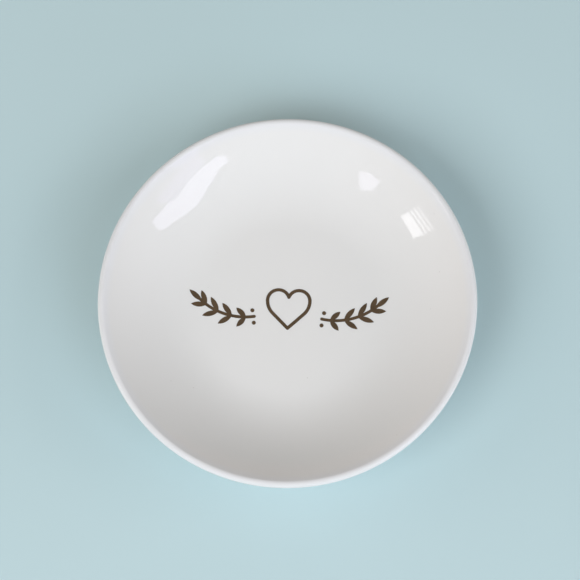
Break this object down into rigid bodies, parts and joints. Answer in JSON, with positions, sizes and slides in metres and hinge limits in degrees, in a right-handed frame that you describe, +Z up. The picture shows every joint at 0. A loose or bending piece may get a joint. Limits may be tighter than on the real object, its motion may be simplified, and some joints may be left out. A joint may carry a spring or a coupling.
{
  "type": "ring dish",
  "caption": "Small round white porcelain dish for rings, with a curved-up wall, a foot ring and a dark gold drawing in its well.",
  "frame": {"origin": "middle of the foot ring's bearing face, on the axis of the dish", "axes": "+Z up along the axis, +X to the right along the drawing, +Y towards the top of the drawing"},
  "size_m": [0.11, 0.11, 0.02],
  "materials": {
    "porcelain": "bare fired porcelain, matt and slightly warm",
    "glaze": "clear white glaze, glossy",
    "gold_ink": "dark gold ink fired on to the glaze, satin"
  },
  "bodies": {
    "root": {"porcelain_body": "porcelain", "glaze_coat": "glaze", "base_glaze": "glaze", "print_heart": "gold_ink", "print_left_sprig": "gold_ink", "print_right_sprig": "gold_ink", "print_berries": "gold_ink"}
  },
  "joints": []
}
